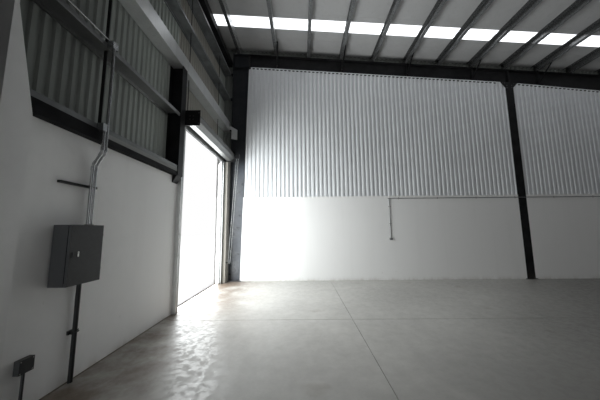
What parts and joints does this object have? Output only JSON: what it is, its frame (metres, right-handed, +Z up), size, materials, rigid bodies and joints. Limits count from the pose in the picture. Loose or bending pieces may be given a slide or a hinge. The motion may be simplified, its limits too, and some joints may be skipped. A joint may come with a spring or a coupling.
{
  "type": "factory hall end bay",
  "caption": "End bay of a factory hall with portal frames, plastered dado walls, ribbed sheet walls, a skylight strip and a roller shutter doorway.",
  "frame": {"origin": "bottom centre of the overall box, at the underside of the floor slab", "axes": "+X across the hall from the door wall to the open low side, +Y from the open near side to the gable wall, +Z up"},
  "size_m": [19.387, 7.182, 8.3152],
  "materials": {
    "concrete": "power-trowelled, worn",
    "plaster": "painted plaster, matt",
    "dark_steel": "semi-gloss black primer",
    "girt_steel": "satin dark grey",
    "galvanised": "galvanised, dull",
    "white_sheet": "satin white coil coating",
    "grey_sheet": "matt grey coil coating",
    "roof_sheet": "matt light grey",
    "skylight": "translucent sheet",
    "shutter": "galvanised slats",
    "cabinet": "satin dark grey",
    "conduit": "galvanised tube",
    "chain": "galvanised chain"
  },
  "bodies": {
    "hall": {"floor_slab": "concrete", "door_wall_dado": "plaster", "door_wall_stub": "plaster", "plaster_pier": "plaster", "back_dado_left": "plaster", "back_dado_right": "plaster", "corner_column": "dark_steel", "gable_post": "dark_steel", "right_column": "dark_steel", "back_rafter": "dark_steel", "near_left_column": "dark_steel", "near_right_column": "dark_steel", "near_rafter": "dark_steel", "purlins": "galvanised", "fly_braces": "dark_steel", "roof_sheets": "roof_sheet", "skylight": "skylight", "back_liner": "white_sheet", "back_girts": "galvanised", "back_cladding": "grey_sheet", "door_wall_cladding": "grey_sheet", "over_door_cladding": "grey_sheet", "sill_beam": "dark_steel", "dado_girt": "girt_steel", "girt_two": "galvanised", "door_head_beam": "galvanised", "upper_girts": "girt_steel", "sag_rods": "dark_steel", "eave_strut": "dark_steel", "door_post": "dark_steel", "door_lintel": "dark_steel", "door_guides": "galvanised", "shutter_roll": "shutter", "shutter_end_plates": "dark_steel", "shutter_bottom_bar": "shutter", "chain_hoist": "dark_steel", "hand_chain": "chain", "cabinet_body": "cabinet", "cabinet_strut": "dark_steel", "cabinet_conduits": "conduit", "feed_conduit": "dark_steel", "outlet_box": "cabinet", "back_wall_conduit": "conduit", "wall_trims": "white_sheet", "outer_trims": "grey_sheet"},
    "cabinet_leaf": {"cabinet_door": "cabinet"}
  },
  "joints": [
    {"name": "cabinet_door_hinge", "type": "hinge", "parent": "hall", "child": "cabinet_leaf", "pos_m": [-9.3175, -1.778, 1.54], "axis": [0, 0, 1], "range_deg": [0, 110]}
  ]
}
